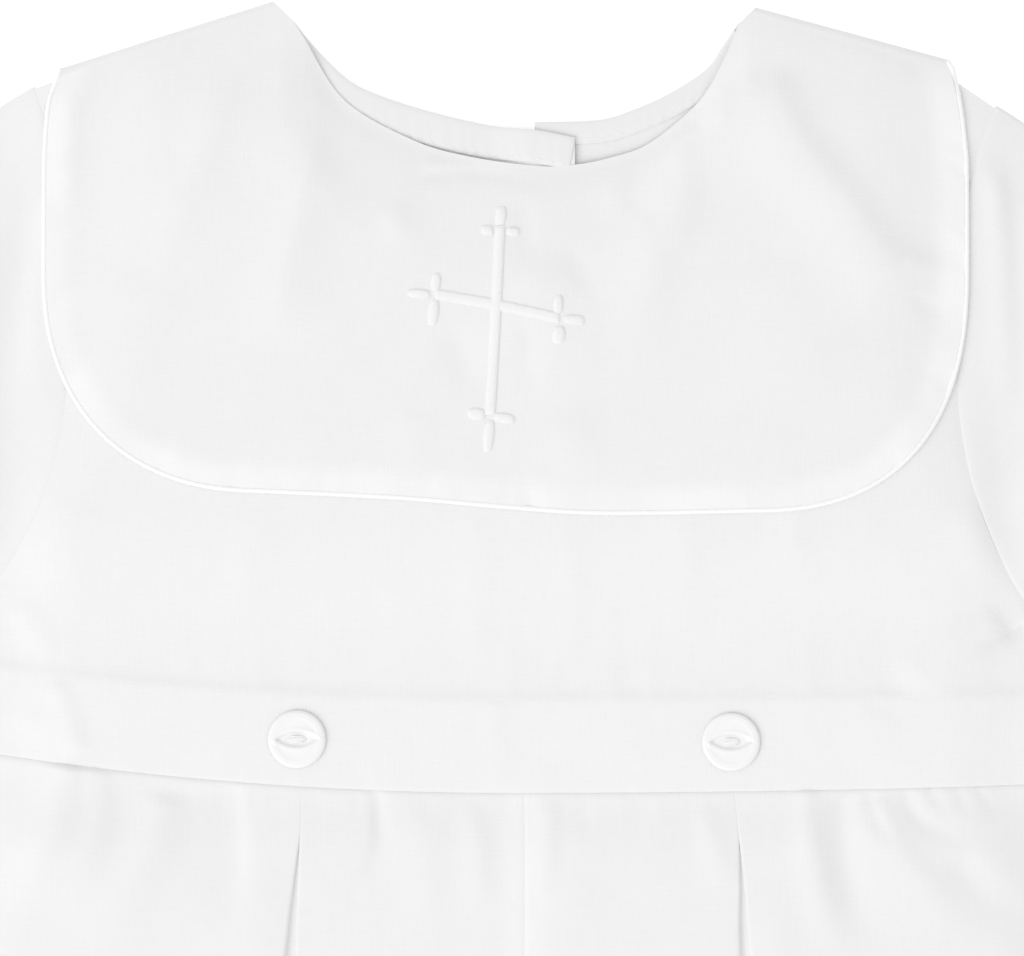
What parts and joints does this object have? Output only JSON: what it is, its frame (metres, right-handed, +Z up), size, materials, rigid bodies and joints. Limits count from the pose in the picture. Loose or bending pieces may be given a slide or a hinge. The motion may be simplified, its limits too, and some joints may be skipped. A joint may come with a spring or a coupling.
{
  "type": "baptism romper",
  "caption": "White cotton baptism romper laid flat, with a wide piped bib collar, short sleeves, a buttoned waistband and pleated short legs.",
  "frame": {"origin": "middle of the laid-out garment, on the surface that it lies on", "axes": "+Y from the leg hems to the shoulders, +X to the viewer's right across the front, +Z up out of the front"},
  "size_m": [0.3368, 0.404, 0.0086],
  "materials": {
    "collar_cloth": "fine plain-weave cotton",
    "garment_cloth": "fine plain-weave cotton",
    "binding_cloth": "bias-cut cotton strip",
    "piping_cord": "cotton-covered cord",
    "button_gloss": "polished"
  },
  "bodies": {
    "root": {"collar": "collar_cloth", "collar_piping": "piping_cord", "front_bodice": "garment_cloth", "back_bodice_left": "garment_cloth", "back_bodice_right": "garment_cloth", "neck_binding_left": "binding_cloth", "neck_binding_right": "binding_cloth", "sleeve_left": "garment_cloth", "sleeve_right": "garment_cloth", "waistband_front": "garment_cloth", "waistband_back": "garment_cloth", "button_left": "button_gloss", "button_right": "button_gloss", "front_leg_left": "garment_cloth", "front_leg_right": "garment_cloth", "back_leg_left": "garment_cloth", "back_leg_right": "garment_cloth"}
  },
  "joints": []
}
